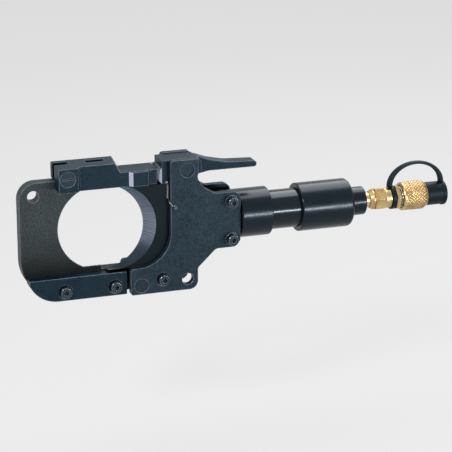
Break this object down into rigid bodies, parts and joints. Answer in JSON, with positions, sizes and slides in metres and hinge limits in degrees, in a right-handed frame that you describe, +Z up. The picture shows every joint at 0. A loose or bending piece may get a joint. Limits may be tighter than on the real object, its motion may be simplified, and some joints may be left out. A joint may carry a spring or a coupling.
{
  "type": "hydraulic cable cutter head",
  "caption": "Remote hydraulic cable cutter: hinged round cutting frame with fork arm, sprung latch lever, sliding curved blade, ram cylinder and brass hose coupler with capped strap.",
  "frame": {"origin": "centre of the cable opening, on the shear plane between the fixed plate and the moving blade", "axes": "+X along the ram towards the hose coupler, -Y the face with the screw heads and the slotted pin, +Z up towards the arm and the latch lever"},
  "size_m": [0.5194, 0.063, 0.1568],
  "materials": {
    "side_plate": "dark blue-grey phosphated steel, satin",
    "fixed_plate": "grey phosphated steel plate, satin",
    "arm": "dark blue-grey phosphated steel, satin",
    "blade": "blackened tool steel with a ground bevel",
    "cylinder": "black oxide steel, semi-gloss",
    "fastener": "black oxide screws, nuts and washers",
    "pin": "blued steel pins",
    "steel": "bright steel",
    "chrome": "hard chrome",
    "bronze": "bronze bush",
    "brass": "bare brass",
    "rubber": "black rubber",
    "seal": "polyurethane seal",
    "ptfe": "white fluoropolymer ring"
  },
  "bodies": {
    "cylinder": {"front_side_plate": "side_plate", "back_side_plate": "side_plate", "cylinder_head": "cylinder", "cylinder_tube": "cylinder", "rear_cap": "cylinder", "rod_bush": "bronze", "rod_seal": "seal", "rod_wiper": "rubber", "tube_seal": "rubber", "head_bolts": "fastener", "head_washers": "fastener", "head_nuts": "fastener", "tab_bolt": "fastener", "tab_spacer": "fastener", "tab_nut": "fastener", "hinge_pin": "pin", "hinge_spacer": "fastener", "latch_pin": "pin", "spring_pin": "pin", "upper_guide_rail": "arm", "lower_guide_rail": "arm", "hose_nipple": "brass", "coupler_body": "brass", "coupler_barrel": "brass", "snap_ring": "steel", "lock_balls": "steel", "strap_ring": "rubber", "cap_strap": "rubber", "latch_spring": "steel", "return_spring": "steel", "coupler_spring": "steel", "poppet_spring": "steel"},
    "gate": {"fixed_plate": "fixed_plate", "guide_bar": "arm", "bar_bolts": "fastener", "gate_arm": "arm", "arm_pin": "pin", "arm_pin_nut": "fastener"},
    "latch": {"latch": "arm", "hook_pin": "steel", "spring_stud": "steel"},
    "ram": {"piston": "steel", "piston_seal": "rubber", "backup_ring": "ptfe", "piston_rod": "chrome", "blade_holder": "arm", "moving_blade": "blade", "blade_screws": "fastener"},
    "sleeve": {"coupler_sleeve": "brass"},
    "poppet": {"valve_poppet": "steel"},
    "cap": {"dust_cap": "rubber"}
  },
  "joints": [
    {"name": "ram_stroke", "type": "slide", "parent": "cylinder", "child": "ram", "axis": [-1, 0, 0], "range_m": [0, 0.102], "deforming": ["return_spring"]},
    {"name": "gate_swing", "type": "hinge", "parent": "cylinder", "child": "gate", "pos_m": [0.0413, 0, -0.0685], "axis": [0, -1, 0], "range_deg": [0, 105]},
    {"name": "latch_lift", "type": "hinge", "parent": "cylinder", "child": "latch", "pos_m": [0.097, 0, 0.0635], "axis": [0, 1, 0], "range_deg": [0, 12], "stiffness_Nm_per_rad": 1.2, "springref_deg": -20.05, "deforming": ["latch_spring"]},
    {"name": "sleeve_pull", "type": "slide", "parent": "cylinder", "child": "sleeve", "axis": [-1, 0, 0], "range_m": [0, 0.003], "stiffness_N_per_m": 2500, "springref_m": -0.004, "deforming": ["coupler_spring"]},
    {"name": "poppet_push", "type": "slide", "parent": "cylinder", "child": "poppet", "axis": [-1, 0, 0], "range_m": [0, 0.0035], "stiffness_N_per_m": 1200, "springref_m": -0.004, "deforming": ["poppet_spring"]},
    {"name": "cap_pull", "type": "slide", "parent": "cylinder", "child": "cap", "axis": [1, 0, 0], "range_m": [0, 0.03], "deforming": ["cap_strap"]}
  ]
}
